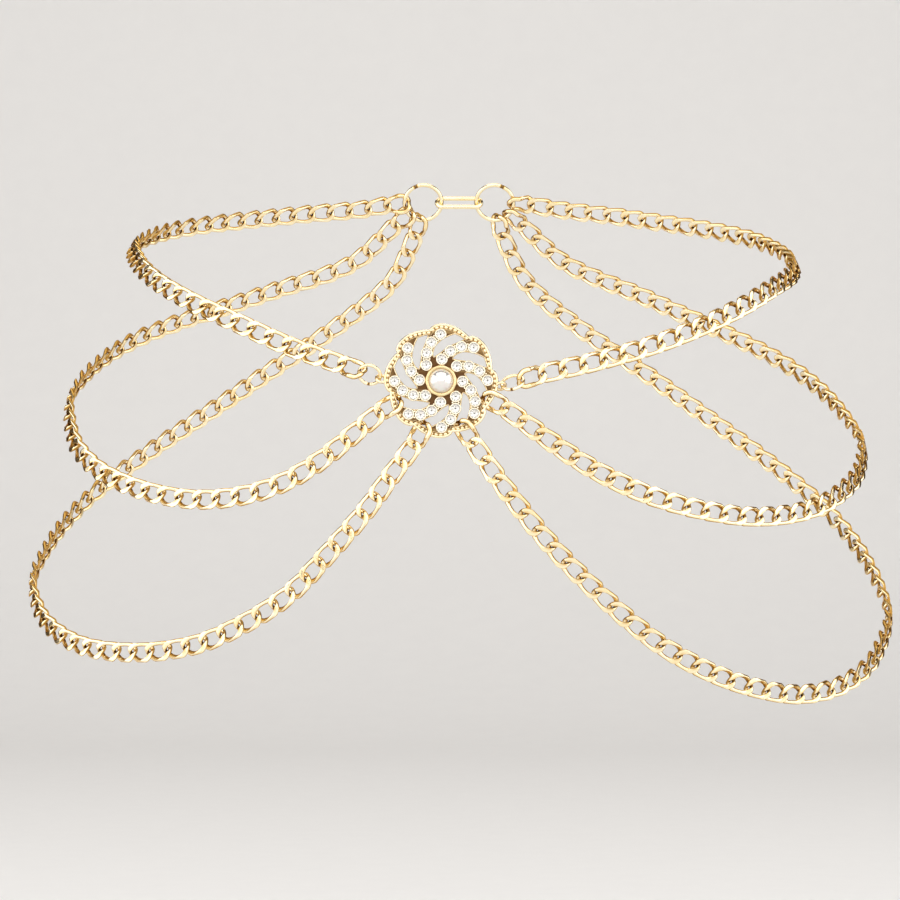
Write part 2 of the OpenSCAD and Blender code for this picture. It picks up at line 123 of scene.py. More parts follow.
CLASP_ROLL = 62
BACK_RING_AT = CLASP_HALF - (CLASP_WIRE + BACK_WIRE) / 2 - SWING_GAP + BACK_R


def cos(a):
    return math.cos(math.radians(a))


def sin(a):
    return math.sin(math.radians(a))


def unit(v):
    return v / np.linalg.norm(v)


def polar(r, a):
    return np.array([r * cos(a), r * sin(a)])


# The form, the routes on it and the frames along them, as in the part's source.
def half_width(z):
    return (HIP_W - (HIP_W - WAIST_W) * max(0.0, (z + HIP_DROP) / HIP_DROP) ** FORM_POWER) / 2


def front_depth(z):
    return BELLY_D - BELLY_FALL * ((z - BELLY_LEVEL) / 100) ** 2


def on_form(turn, z):
    depth = BACK_SHARE * half_width(z) if abs(turn) > 90 else front_depth(z)
    return np.array([(half_width(z) + LIFT) * sin(turn), -(depth + LIFT) * cos(turn), z])


def facing(turn, z):
    round_it = on_form(turn + 1, z) - on_form(turn - 1, z)
    up_it = on_form(turn, z + 1) - on_form(turn, z - 1)
    return unit(np.cross(round_it, up_it))


MEDALLION_DEPTH = front_depth(-MEDALLION_DROP) + PLATE_TOP + HANG_GAP
MEDALLION = np.array([-MEDALLION_LEFT, -MEDALLION_DEPTH, -MEDALLION_DROP])


def on_medallion(spot, rise):
    return np.concatenate([MEDALLION + [spot[0], -rise, spot[1]], [0, -1, 0]])


def seat(turn, z):
    out = facing(turn, z)
    up = unit(Z - out * out[2])
    return np.cross(up, out), up, out, on_form(turn, z)


def back_seat(side):
    off_middle = math.degrees(math.asin(BACK_RING_AT / (half_width(CLASP_RISE) + LIFT)))
    return seat(side * (180 - off_middle), CLASP_RISE)


def on_back_ring(side, fan, reach):
    s = back_seat(side)
    return np.concatenate([s[3] + reach * (-side * cos(fan) * s[0] - sin(fan) * s[1]), s[2]])


def way_off(start):
    heading, lean = start[1:]
    return np.array([cos(heading) * cos(lean), sin(lean), sin(heading) * cos(lean), 0, 0, 0])


def from_rim(start):
    p = on_medallion(polar(LINK_TIP_R, start[0]), RIM_REACH - PLATE_TOP)
    return [p + way_off(start) * HALF_LEN, p + way_off(start) * (HALF_LEN + STRAIGHT_RUN)]


def rim_at(angle):
    t = (NOTCH_AT - angle) / (360 / ARMS)
    part = t - math.floor(t)
    return RIM_R + SCALLOP * sin(180 * part ** 0.6)


def eyelet_spot(start):
    return polar(rim_at(start[0]) + EYELET_R - EYELET_SINK, start[0])


def from_jump(start):
    p = on_medallion(eyelet_spot(start) + polar(JUMP_STEP + JUMP_R, start[1]), 0)
    return [p + way_off(start) * JUMP_LINK_REACH, p + way_off(start) * (JUMP_LINK_REACH + STRAIGHT_RUN)]


def route(first, side, rows, fan):
    middle = [np.concatenate([on_form(side * a, z), facing(side * a, z)]) for a, z in rows]
    last = [on_back_ring(side, fan, BACK_LINK_REACH + more) for more in (STRAIGHT_RUN, 0)]
    return first + middle + last


def chords(points, closed=False):
    ends = points[1:] + points[:1] if closed else points[1:]
    return [np.linalg.norm(b[:3] - a[:3]) for a, b in zip(points, ends)]


def smooth(points, steps, closed=False):
    """A smooth curve through points, spaced by the chords between them."""
    n = len(points)
    c = chords(points, closed)
    slopes = []
    for i in range(n):
        if closed or 0 < i < n - 1:
            slopes.append((points[(i + 1) % n] - points[i - 1]) / (c[i - 1] + c[i % len(c)]))
        elif i == 0:
            slopes.append((points[1] - points[0]) / c[0])
        else:
            slopes.append((points[i] - points[i - 1]) / c[i - 1])
    out = []
    for i in range(n if closed else n - 1):
        a, b = points[i], points[(i + 1) % n]
        for k in range(steps):
            u = k / steps
            v = 1 - u
            out.append(a * (1 + 2 * u) * v * v + b * (3 - 2 * u) * u * u
                       + slopes[i] * c[i] * u * v * v - slopes[(i + 1) % n] * c[i] * u * u * v)
    if not closed:
        out.append(points[-1])
    return np.array(out)


def frames_along(points):
    """The links' frames at equal steps: the way along, the way across, the way out and the place."""
    curve = smooth(points, SPAN_STEPS)
    run = np.concatenate([[0], np.cumsum(np.linalg.norm(np.diff(curve[:, :3], axis=0), axis=1))])
    count = math.ceil(run[-1] / PITCH) + 1

    def at(s):
        return np.array([np.interp(s, run, curve[:, k]) for k in range(6)])

    out = []
    for i in range(count):
        s = run[-1] * i / (count - 1)
        ahead = unit(at(s + HALF_LEN / 2)[:3] - at(s - HALF_LEN / 2)[:3])
        here = at(s)
        face = unit(here[3:] - ahead * (here[3:] @ ahead))
        out.append((ahead, np.cross(face, ahead), face, here[:3]))
    return out


# Meshes are gathered as points, faces, and a shade for each point: 0 is bright, 1 is darkest. It holds
# painted shade on the links and stones, and tarnish in the medallion's hollows.
class Gather:
    def __init__(self):
        self.points = []
        self.faces = []
        self.shades = []

    def add(self, points, faces, shade=0.0):
        base = len(self.points)
        self.points.extend(np.asarray(points, float).tolist())
        self.faces.extend([[i + base for i in f] for f in faces])
        self.shades.extend([shade] * len(points) if np.isscalar(shade) else list(shade))

    def piece(self, name, material, slot, nodes, place=None, sharp=38, flat=False):
        points = np.array(self.points)
        if place is not None:
            points = place(points)
        mesh = bpy.data.meshes.new(name)
        mesh.from_pydata((points * MM).tolist(), [], self.faces)
        shade = mesh.attributes.new("shade", "FLOAT", "POINT")
        shade.data.foreach_set("value", np.array(self.shades, np.float32))
        mesh.materials.append(material)
        if not flat:
            mesh.polygons.foreach_set("use_smooth", [True] * len(mesh.polygons))
            mark_sharp(mesh, sharp)
        mesh.update()
        piece = bpy.data.objects.new(name, mesh)
        bpy.context.scene.collection.objects.link(piece)
        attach(piece, "root")
        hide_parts(*nodes)
        return piece


def mark_sharp(mesh, degrees):
    bm = bmesh.new()
    bm.from_mesh(mesh)
    bmesh.ops.recalc_face_normals(bm, faces=bm.faces)
    for edge in bm.edges:
        edge.smooth = len(edge.link_faces) == 2 and edge.calc_face_angle(0) < math.radians(degrees)
    bm.to_mesh(mesh)
    bm.free()


def ring_faces(rings, sides, closed):
    last = rings if closed else rings - 1
    faces = []
    for i in range(last):
        for k in range(sides):
            a, b, m = i * sides, (i + 1) % rings * sides, (k + 1) % sides
            faces.append([a + k, a + m, b + m, b + k])
    if not closed:
        faces.append([sides - 1 - k for k in range(sides)])
        faces.append([(rings - 1) * sides + k for k in range(sides)])
    return faces


def sweep(path, wide, high, sides, closed=True):
    """Rings of points along a path, wide across it and high along the z axis."""
    path = np.asarray(path, float)
    ahead = np.roll(path, -1, 0) - np.roll(path, 1, 0)
    if not closed:
        ahead[0] = path[1] - path[0]
        ahead[-1] = path[-1] - path[-2]
    ahead /= np.linalg.norm(ahead, axis=1)[:, None]
    across = np.cross(Z, ahead)
    across /= np.linalg.norm(across, axis=1)[:, None]
    rise = np.cross(ahead, across)
    a = 2 * math.pi * (np.arange(sides) + 0.5) / sides
    wide = np.broadcast_to(wide, len(path))[:, None, None]
    points = (path[:, None, :] + wide * np.cos(a)[None, :, None] * across[:, None, :]
              + high * np.sin(a)[None, :, None] * rise[:, None, :])
    return points.reshape(-1, 3), ring_faces(len(path), sides, closed)


def lathe(profile, segments):
    """A closed profile of [radius, height] turned round the height axis."""
    points = []
    for i in range(segments):
        a = 360 * i / segments
        points += [[r * cos(a), r * sin(a), h] for r, h in profile]
    return points, ring_faces(segments, len(profile), True)


def ball(centre, r):
    rings, segments = 8, 14
    points = [[0, 0, r]]
    for i in range(1, rings):
        t = 180 * i / rings
        for k in range(segments):
            a = 360 * k / segments
            points.append([r * sin(t) * cos(a), r * sin(t) * sin(a), r * cos(t)])
    points.append([0, 0, -r])
    faces = [[0, 1 + k, 1 + (k + 1) % segments] for k in range(segments)]
    for i in range(rings - 2):
        a = 1 + i * segments
        for k in range(segments):
            m = (k + 1) % segments
            faces.append([a + k, a + segments + k, a + segments + m, a + m])
    end = len(points) - 1
    faces += [[end, end - segments + (k + 1) % segments, end - segments + k] for k in range(segments)]
    return np.array(points) + centre, faces


# The finishes.
MARK_DEPTH = 0.00005


def new_material(name):
    material = bpy.data.materials.new(name)
    material.use_nodes = True
    tree = material.node_tree
    return material, tree, tree.nodes["Principled BSDF"]


def noise(tree, where, scale, detail, roughness=0.55):
    node = tree.nodes.new("ShaderNodeTexNoise")
    node.inputs["Scale"].default_value = scale
    node.inputs["Detail"].default_value = detail
    node.inputs["Roughness"].default_value = roughness
    tree.links.new(where.outputs["Object"], node.inputs["Vector"])
    return node


def spread(tree, source, low, high, to_low, to_high):
    node = tree.nodes.new("ShaderNodeMapRange")
    tree.links.new(source, node.inputs["Value"])
    for name, value in (("From Min", low), ("From Max", high), ("To Min", to_low), ("To Max", to_high)):
        node.inputs[name].default_value = value
    return node.outputs["Result"]


def blend_colour(tree, share, first, second):
    node = tree.nodes.new("ShaderNodeMix")
    node.data_type = "RGBA"
    tree.links.new(share, node.inputs["Factor"])
    for socket_in, value in ((node.inputs[6], first), (node.inputs[7], second)):
        if isinstance(value, bpy.types.NodeSocket):
            tree.links.new(value, socket_in)
        else:
            socket_in.default_value = (*value, 1)
    return node.outputs[2]


def clouded(tree, where, scale, detail, reach, first, second):
    """Two colours in slow clouds, blended where the noise is within reach of its middle."""
    cloud = noise(tree, where, scale, detail)
    share = spread(tree, cloud.outputs["Fac"], 0.5 - reach, 0.5 + reach, 0, 1)
    return blend_colour(tree, share, first, second)


def shade_of(tree):
    """The shade that the mesh holds for each point."""
    node = tree.nodes.new("ShaderNodeAttribute")
    node.attribute_name = "shade"
    return node.outputs["Fac"]


def fine_marks(tree, shader, height, strength):
    node = tree.nodes.new("ShaderNodeBump")
    node.inputs["Strength"].default_value = strength
    node.inputs["Distance"].default_value = MARK_DEPTH
    tree.links.new(height, node.inputs["Height"])
    tree.links.new(node.outputs["Normal"], shader.inputs["Normal"])


def added(tree, first, second):
    node = tree.nodes.new("ShaderNodeMath")
    node.operation = "ADD"
    node.use_clamp = True
    tree.links.new(first, node.inputs[0])
    tree.links.new(second, node.inputs[1])
    return node.outputs[0]


def metal(name, bright, warm, deep, dark, rough, grain, bump):
    """Plated metal: slow colour drift, deeper and then dark where the shade says (painted shade, and
    tarnish in hollows), fine marks.
    """
    material, tree, shader = new_material(name)
    where = tree.nodes.new("ShaderNodeTexCoord")
    fine = noise(tree, where, grain, 4, 0.7).outputs["Fac"]
    shade = shade_of(tree)
    plating = clouded(tree, where, 140, 3, 0.15, bright, warm)
    # Painted shade: the shade turns the plating deeper gold and then dark; the fine marks add a little
    # tarnish.
    plating = blend_colour(tree, spread(tree, shade, 0, 0.5, 0, 1), plating, deep)
    shade_and_stain = added(tree, spread(tree, shade, 0.5, 1, 0, 0.95), spread(tree, fine, 0.55, 0.8, 0, 0.1))
    tree.links.new(blend_colour(tree, shade_and_stain, plating, dark), shader.inputs["Base Color"])
    shader.inputs["Metallic"].default_value = 1.0
    shader.inputs["Specular Tint"].default_value = (0.7, 0.46, 0.24, 1)
    gloss = added(tree, spread(tree, fine, 0.3, 0.7, rough - 0.05, rough + 0.07),
                  spread(tree, shade, 0, 1, 0, 0.25))
    tree.links.new(gloss, shader.inputs["Roughness"])
    fine_marks(tree, shader, fine, bump)
    return material


def pearl_finish():
    material, tree, shader = new_material("pearl_coat")
    where = tree.nodes.new("ShaderNodeTexCoord")
    body = clouded(tree, where, 420, 2, 0.15, (0.79, 0.77, 0.73), (0.76, 0.73, 0.69))
    tree.links.new(body, shader.inputs["Base Color"])
    shader.inputs["Roughness"].default_value = 0.12
    shader.inputs["Metallic"].default_value = 0.6
    shader.inputs["Coat Weight"].default_value = 0.6
    shader.inputs["Coat Roughness"].default_value = 0.08
    shader.inputs["Subsurface Weight"].default_value = 0.15
    shader.inputs["Subsurface Scale"].default_value = 0.001
    fine_marks(tree, shader, noise(tree, where, 900, 2).outputs["Fac"], 0.08)
    return material


def stone_finish():
    material, tree, shader = new_material("clear_stone")
    where = tree.nodes.new("ShaderNodeTexCoord")
    clear = clouded(tree, where, 300, 1, 0.2, (1.0, 0.995, 0.98), (0.98, 0.97, 0.95))
    tree.links.new(clear, shader.inputs["Base Color"])
    shader.inputs["Roughness"].default_value = 0.02
    shader.inputs["IOR"].default_value = 1.55
    shader.inputs["Transmission Weight"].default_value = 1.0
    return material


def foil_finish():
    material, tree, shader = new_material("stone_foil")
    where = tree.nodes.new("ShaderNodeTexCoord")
    silver = clouded(tree, where, 700, 2, 0.15, (1.0, 0.99, 0.96), (0.97, 0.95, 0.91))
    # Painted reflection: where the shade says, the foil turns greyer on some facets and nearly black in
    # the middle, for the stone's dark centre.
    silver = blend_colour(tree, shade_of(tree), silver, (0.03, 0.03, 0.04))
    tree.links.new(silver, shader.inputs["Base Color"])
    shader.inputs["Metallic"].default_value = 0.9
    shader.inputs["Roughness"].default_value = 0.17
    return material


chain_gold = metal("chain_gold", bright=(1.0, 0.895, 0.63), warm=(1.0, 0.84, 0.5), deep=(0.78, 0.47, 0.13),
                   dark=(0.07, 0.026, 0.007), rough=0.15, grain=5200, bump=0.12)
cast_gold = metal("cast_gold", bright=(0.95, 0.84, 0.6), warm=(0.92, 0.78, 0.5), deep=(0.62, 0.42, 0.17),
                  dark=(0.11, 0.05, 0.02), rough=0.2, grain=3600, bump=0.16)
bezel_gold = metal("bezel_gold", bright=(0.86, 0.7, 0.41), warm=(0.82, 0.62, 0.32), deep=(0.65, 0.4, 0.14),
                   dark=(0.2, 0.1, 0.04), rough=0.17, grain=3600, bump=0.3)
cup_gold = metal("cup_gold", bright=(0.93, 0.87, 0.72), warm=(0.9, 0.82, 0.64), deep=(0.66, 0.47, 0.22),
                 dark=(0.2, 0.1, 0.04), rough=0.2, grain=3600, bump=0.3)
pearl_coat = pearl_finish()
clear_stone = stone_finish()
stone_foil = foil_finish()


# The links.
def rolled(points, degrees):
    c, s = cos(degrees), sin(degrees)
    return np.asarray(points) @ np.array([[1, 0, 0], [0, c, s], [0, -s, c]])


def bend(row, wide):
    return np.array([row[0] * HALF_LEN, row[1] * HALF_W, row[2] * (END_TWIST if wide else LINK_TWIST)])


def link_path(wide_in, wide_out):
    inner = [bend(row, wide_in) for row in (END_LINK if wide_in else LINK)]
    outer = [bend(row, wide_out) for row in (END_LINK if wide_out else LINK)]
    mirror = np.array([-1, 1, -1])
    turn = np.array([-1, -1, 1])
    return (outer + [p * mirror for p in inner[:0:-1]] + [p * turn for p in inner]
            + [p * mirror * turn for p in outer[:0:-1]])


# The links are pressed flat front and back, and the wire spreads where it is pressed.
PRESSED_OFF = 0.52
FLAT_TOP = LINK_TWIST + WIRE_D / 2 - PRESSED_OFF
NOT_PRESSED = 9.0
WIRE_SIDES, WIRE_R, SPREAD_BY_PRESS = 16, 0.73, 0.22


def link_mesh(wide_in, wide_out):
    """One link in its own frame: a smooth twisted oval of round wire with pressed faces."""
    path = smooth(link_path(wide_in, wide_out), 4, True)
    pressed = np.clip((np.abs(path[:, 2]) / LINK_TWIST - 0.35) / 0.5, 0, 1)
    pressed = pressed * pressed * (3 - 2 * pressed)
    points, faces = sweep(path, WIRE_R + SPREAD_BY_PRESS * pressed, WIRE_D / 2, WIRE_SIDES)
    # Painted shade: deeper on the hollow side of the link's two ends, where the links cross, and dark on
    # the wire's flanks below the pressed faces, standing for their shade and dark reflections.
    middle = np.repeat(path, WIRE_SIDES, 0)
    off = points - middle
    towards = -middle * [1, 1, 0]
    towards /= np.linalg.norm(towards, axis=1)[:, None] + 1e-9
    inner = np.clip((off * towards).sum(1) / (WIRE_D / 2), -1, 1)
    tip = np.clip((np.abs(middle[:, 0]) - 2.6) / 2.0, 0, 1)
    a = 2 * math.pi * (np.arange(WIRE_SIDES) + 0.5) / WIRE_SIDES
    side = np.tile(np.clip((0.84 - np.abs(np.sin(a))) / 0.3, 0, 1), len(path))
    wide = ((points[:, 0] < 0) & wide_in) | ((points[:, 0] > 0) & wide_out)
    limit = np.where(wide, NOT_PRESSED, FLAT_TOP)
    side[np.abs(points[:, 2]) >= limit] = 0
    shade = np.clip(0.5 * tip * np.clip(0.15 + inner, 0, 1) + 0.75 * side, 0, 1)
    points[:, 2] = np.clip(points[:, 2], -limit, limit)
    return points, faces, shade


SWAY = 1.3
LINK_KINDS = {key: link_mesh(*key) for key in ((False, False), (True, False), (False, True))}


def strand(name, points, turns=((0, 0), (1, 0))):
    """Links along a route. Turns say how far it is rolled, as millimetres along it and degrees."""
    links = frames_along(points)
    gather = Gather()
    along, degrees = zip(*turns)
    sway = np.random.default_rng(sum(map(ord, name))).normal(0, SWAY, (len(links), 2))
    for i, (ahead, side, face, place) in enumerate(links):
        local, faces, shade = LINK_KINDS[(i == 0, i == len(links) - 1)]
        if 0 < i < len(links) - 1:
            local = rolled(local, sway[i, 0] + np.interp(i * PITCH, along, degrees))
        gather.add(local @ np.array([ahead, side, face]) + place, faces, shade)
    return gather.piece(name + "_links", chain_gold, "chain_metal", [name], sharp=33)


strand("top_chain_left", route(from_jump(TOP_LEFT_START), -1, TOP_LEFT, TOP_FAN))
strand("top_chain_right", route(from_jump(TOP_RIGHT_START), 1, TOP_RIGHT, TOP_FAN))
strand("middle_chain_left", route(from_rim(MIDDLE_LEFT_START), -1, MIDDLE_LEFT, MIDDLE_FAN))
strand("middle_chain_right", route(from_rim(MIDDLE_RIGHT_START), 1, MIDDLE_RIGHT, MIDDLE_FAN),
       ((0, 0), (24, 22), (40, 22), (75, 0)))
strand("lower_chain_left", route(from_rim(LOWER_LEFT_START), -1, LOWER_LEFT, LOWER_FAN))
strand("lower_chain_right", route(from_rim(LOWER_RIGHT_START), 1, LOWER_RIGHT, LOWER_FAN),
       ((0, 0), (24, 22), (95, 22), (140, 0)))


# Rings. Each is a wire bent round and closed at a seam.
def wire_ring(r, wire, seam):
    steps, sides, gap = 96, 18, 0.1
    half = math.degrees(gap / r) / 2
    path = [[*polar(r, seam + half + (360 - 2 * half) * i / steps), 0] for i in range(steps + 1)]
    points, faces = sweep(path, wire / 2, wire / 2, sides, closed=False)
    near = np.minimum(np.arange(steps + 1), steps - np.arange(steps + 1))
    shade = np.repeat(np.where(near < 2, 0.9, 0.0), sides)
    return points, faces, shade


def turned(points, degrees):
    c, s = cos(degrees), sin(degrees)
    return np.asarray(points) @ np.array([[c, s, 0], [-s, c, 0], [0, 0, 1]])


def in_line(points, start, reach, roll):
    """A ring that hangs in line with the strand that pulls on it, in the medallion's own plane."""
    spot = eyelet_spot(start) + polar(reach, start[1])
    return turned(rolled(points, roll), start[1]) + [*spot, 0]


def on_front(points):
    """From the medallion's own plane, x right, y up and z out of its face, to the row's frame."""
    points = np.asarray(points)
    return np.stack([points[:, 0], -points[:, 2], points[:, 1]], 1) + MEDALLION


def jump_ring(name, start, roll, seam):
    points, faces, shade = wire_ring(JUMP_R, JUMP_WIRE, seam)
    gather = Gather()
    gather.add(in_line(points, start, JUMP_STEP, roll), faces, shade)
    return gather.piece(name + "_wire", chain_gold, "chain_metal", [name], on_front)


jump_ring("jump_ring_left", TOP_LEFT_START, LEFT_JUMP_ROLL, 102)
jump_ring("jump_ring_right", TOP_RIGHT_START, RIGHT_JUMP_ROLL, 255)


def seated(points, s):
    return np.asarray(points) @ np.array([s[0], s[1], s[2]]) + s[3]


for side, name in ((-1, "back_ring_left"), (1, "back_ring_right")):
    points, faces, shade = wire_ring(BACK_R, BACK_WIRE, 90 + 25 * side)
    gather = Gather()
    gather.add(seated(points, back_seat(side)), faces, shade)
    gather.piece(name + "_wire", chain_gold, "chain_metal", [name])

oval = [[CLASP_HALF - CLASP_R + CLASP_R * cos(a), CLASP_R * sin(a), 0] for a in np.linspace(-90, 90, 25)]
oval += [[-x, -y, 0] for x, y, _ in oval]
points, faces = sweep(oval, CLASP_WIRE / 2, CLASP_WIRE / 2, 18)
gather = Gather()
gather.add(seated(rolled(points, CLASP_ROLL), seat(180, CLASP_RISE)), faces)
gather.piece("clasp_wire", chain_gold, "chain_metal", ["clasp"])


# The medallion, in its own plane.
def arm_angle(arm):
    return FIRST_ARM - 360 / ARMS * arm


def stone_spot(place, arm):
    return polar(STONES[place][0] * RIM_R, STONES[place][1] + arm_angle(arm))


def rim_line(inset):
    n = ARMS * STEPS_IN_SCALLOP
    return [polar(rim_at(NOTCH_AT - 360 * i / n) - inset, NOTCH_AT - 360 * i / n) for i in range(n)]


def slot_line(arm, grow=0.0):
    corners = [polar(r * RIM_R, a + arm_angle(arm)) for r, a in SLOT]
    one = smooth([np.append(p, 0) for p in corners[:6]], 5)
    two = smooth([np.append(p, 0) for p in corners[6:] + corners[:1]], 5)
    line = np.concatenate([one, two[:-1]])[:, :2]
    if grow:
        ahead = np.roll(line, -1, 0) - np.roll(line, 1, 0)
        away = np.stack([-ahead[:, 1], ahead[:, 0]], 1)
        away /= np.linalg.norm(away, axis=1)[:, None]
        line = line + away * grow
    return line


def slab(outlines, low, high, bevel):
    """A flat plate with holes and rounded edges, from a filled curve."""
    curve = bpy.data.curves.new("outline", "CURVE")
    curve.dimensions = "2D"
    curve.fill_mode = "BOTH"
    curve.extrude = (high - low) / 2 - bevel
    curve.bevel_depth = bevel
    curve.bevel_resolution = 2
    curve.offset = -bevel
    for outline in outlines:
        spline = curve.splines.new("POLY")
        spline.points.add(len(outline) - 1)
        for point, (x, y) in zip(spline.points, outline):
            point.co = (x, y, 0, 1)
        spline.use_cyclic_u = True
    maker = bpy.data.objects.new("outline", curve)
    bpy.context.scene.collection.objects.link(maker)
    bpy.context.view_layer.update()
    mesh = bpy.data.meshes.new_from_object(maker.evaluated_get(bpy.context.evaluated_depsgraph_get()))
    points = np.array([v.co for v in mesh.vertices]) + [0, 0, (low + high) / 2]
    faces = [list(p.vertices) for p in mesh.polygons]
    bpy.data.objects.remove(maker)
    bpy.data.curves.remove(curve)
    bpy.data.meshes.remove(mesh)
    return points, faces


def rail(line, level, wide, high, sides):
    return sweep([[x, y, level] for x, y in line], wide, high, sides)


# How far in from the rim's edge, at what level, how wide and high: the rails, halved, and the grains.
OUTER_RAIL, INNER_RAIL = (0.45, 0.66, 0.5, 0.62), (2.05, 0.8, 0.2, 0.3)
GRAIN_IN, GRAIN_LEVEL, GRAIN_LONG, GRAIN_WIDE = 1.28, RIM_TOP + GRAIN_RISE - 0.66, 0.84, 0.7
SLOT_RAIL_WIDE, SLOT_RAIL_HIGH, SLOT_RAIL_TOP = 0.27, 0.5, ARM_TOP - 0.05
CUP_TOP, CUP_R, CUP_LIP_R = ARM_TOP + 0.15, 1.93, 0.26
PRONG_R, PRONG_OFF, PRONG_LEVEL = 0.4, 1.15, CUP_TOP - 0.2
FIELD_TOP, FIELD_IN, FIELD_BEVEL = 0.85, 0.1, 0.14
body = Gather()
outlines = [rim_line(FIELD_IN)] + [slot_line(arm) for arm in range(ARMS)]
points, faces = slab(outlines, -PLATE_TOP, FIELD_TOP, FIELD_BEVEL)
# The field is dark, less so under the grains, and the sides and the back are only dull.
edge = np.linalg.norm(points[:, :2], axis=1) > 0.96 * RIM_R
top = points[:, 2] > FIELD_TOP - 0.02
field = (points[:, 2] > FIELD_TOP - 0.3) & ~edge
body.add(points, faces, np.where(field, 1.0, np.where(top, 0.82, 0.3)))

# The rim: a smooth outer rail, a row of grains and a thin inner rail.
body.add(*rail(rim_line(OUTER_RAIL[0]), *OUTER_RAIL[1:], 12))
body.add(*rail(rim_line(INNER_RAIL[0]), *INNER_RAIL[1:], 8), 0.25)
grains = ARMS * GRAINS_IN_SCALLOP
for i in range(grains):
    a = NOTCH_AT - 360 * (i + 0.5) / grains
    points, faces = ball([0, 0, 0], GRAIN_WIDE)
    points = turned(points * [1, GRAIN_LONG / GRAIN_WIDE, 1], a)
    body.add(points + [*polar(rim_at(a) - GRAIN_IN, a), GRAIN_LEVEL], faces)

# Rails along both sides of each slot.
for arm in range(ARMS):
    line = slot_line(arm, SLOT_RAIL_WIDE)
    body.add(*rail(line, SLOT_RAIL_TOP - SLOT_RAIL_HIGH, SLOT_RAIL_WIDE, SLOT_RAIL_HIGH, 10))

# A rounded cup for each stone, and small beads that hold the stones between the cups.
cup = [[2.19, 0.6]]
for t in range(0, 181, 30):
    fall = 0.3 if t < 90 else 0.1
    cup.append([CUP_R + CUP_LIP_R * cos(t), CUP_TOP - fall * (1 - sin(t))])
cup.append([1.66, 0.75])
cup_shade = [0.8] + [0.0] * 7 + [0.2]
cups = Gather()
for arm in range(ARMS):
    for place in range(len(STONES)):
        points, faces = lathe(cup, 36)
        spot = stone_spot(place, arm)
        cups.add(np.array(points) + [*spot, 0], faces, cup_shade * 36)
        if place:
            before = stone_spot(place - 1, arm)
            middle = (spot + before) / 2
            across = np.array([-(spot - before)[1], (spot - before)[0]]) / np.linalg.norm(spot - before)
            for side in (-1, 1):
                cups.add(*ball([*(middle + across * side * PRONG_OFF), PRONG_LEVEL], PRONG_R))

cups.piece("medallion_cups", cup_gold, "cast_metal", ["medallion"], on_front, sharp=40)

# Eyelets at both sides.
for start in (TOP_LEFT_START, TOP_RIGHT_START):
    path = [[*polar(EYELET_R, 360 * i / 48), 0] for i in range(48)]
    points, faces = sweep(path, EYELET_WIRE / 2, EYELET_WIRE / 2, 14)
    body.add(in_line(points, start, 0, EYELET_ROLL), faces, 0.05)
body.piece("medallion_cast", cast_gold, "cast_metal", ["medallion"], on_front, sharp=40)

# The pearl's bezel: a wide smooth collar with a rounded lip.
inner = PEARL_D / 2 + 0.03
collar = [[BEZEL_R + 0.3, 0.6], [BEZEL_R + 0.3, 1.5], [BEZEL_R + 0.22, 2.0], [BEZEL_R + 0.05, 2.35],
          [BEZEL_R - 0.2, BEZEL_TOP - 0.06], [BEZEL_R - 0.46, BEZEL_TOP - 0.02],
          [BEZEL_R - 0.68, BEZEL_TOP - 0.1], [inner - 0.02, BEZEL_TOP - 0.25],
          [inner - 0.12, BEZEL_TOP - 0.3], [inner, 0.6]]
gather = Gather()
gather.add(*lathe(collar, 96), ([0.6, 0.3] + [0.0] * 5 + [0.3, 0.8, 0.8]) * 96)
gather.piece("medallion_bezel", bezel_gold, "cast_metal", ["medallion"], on_front, sharp=50)

# The pearl: a dome on a short straight girdle.
foot = PLATE_TOP + SEAT_GAP
girdle = foot + BEZEL_RISE * 0.6
r = PEARL_D / 2
dome_r = (r * r + PEARL_RISE * PEARL_RISE) / (2 * PEARL_RISE)
reach = math.degrees(math.asin(r / dome_r))
profile = [[0.001, foot], [r - 0.1, foot], [r, foot + 0.1], [r, girdle]]
for k in range(1, 16):
    a = reach * (1 - k / 16)
    profile.append([dome_r * sin(a), girdle + PEARL_RISE - dome_r + dome_r * cos(a)])
profile += [[0.001, girdle + PEARL_RISE]]
gather = Gather()
gather.add(*lathe(profile, 72))
gather.piece("pearl_dome", pearl_coat, "pearl", ["pearl"], on_front, sharp=50)


# The stones: round brilliants over a foil.
def brilliant(r):
    """Points of a round cut stone; their hull is its facets."""
    points = [[*polar(0.53 * r, 45 * k), 0.30 * r] for k in range(8)]
    points += [[*polar(0.78 * r, 45 * k + 22.5), 0.165 * r] for k in range(8)]
    points += [[*polar(r, 22.5 * k), 0.02 * r] for k in range(16)]
    points += [[*polar(r, 22.5 * k), -0.03 * r] for k in range(16)]
    points += [[*polar(0.98 * r, 22.5 * k), -0.3 * r] for k in range(16)]
    return points


def hull(points):
    bm = bmesh.new()
    for p in points:
        bm.verts.new(p)
    bmesh.ops.convex_hull(bm, input=bm.verts[:])
    bmesh.ops.dissolve_limit(bm, angle_limit=math.radians(1), verts=bm.verts[:], edges=bm.edges[:])
    bm.verts.index_update()
    found = [list(v.co) for v in bm.verts], [[v.index for v in f.verts] for f in bm.faces]
    bm.free()
    return found


STONE_R = STONE_D / 2
GIRDLE = ARM_TOP + 0.02
cut_points, cut_faces = hull(brilliant(STONE_R))


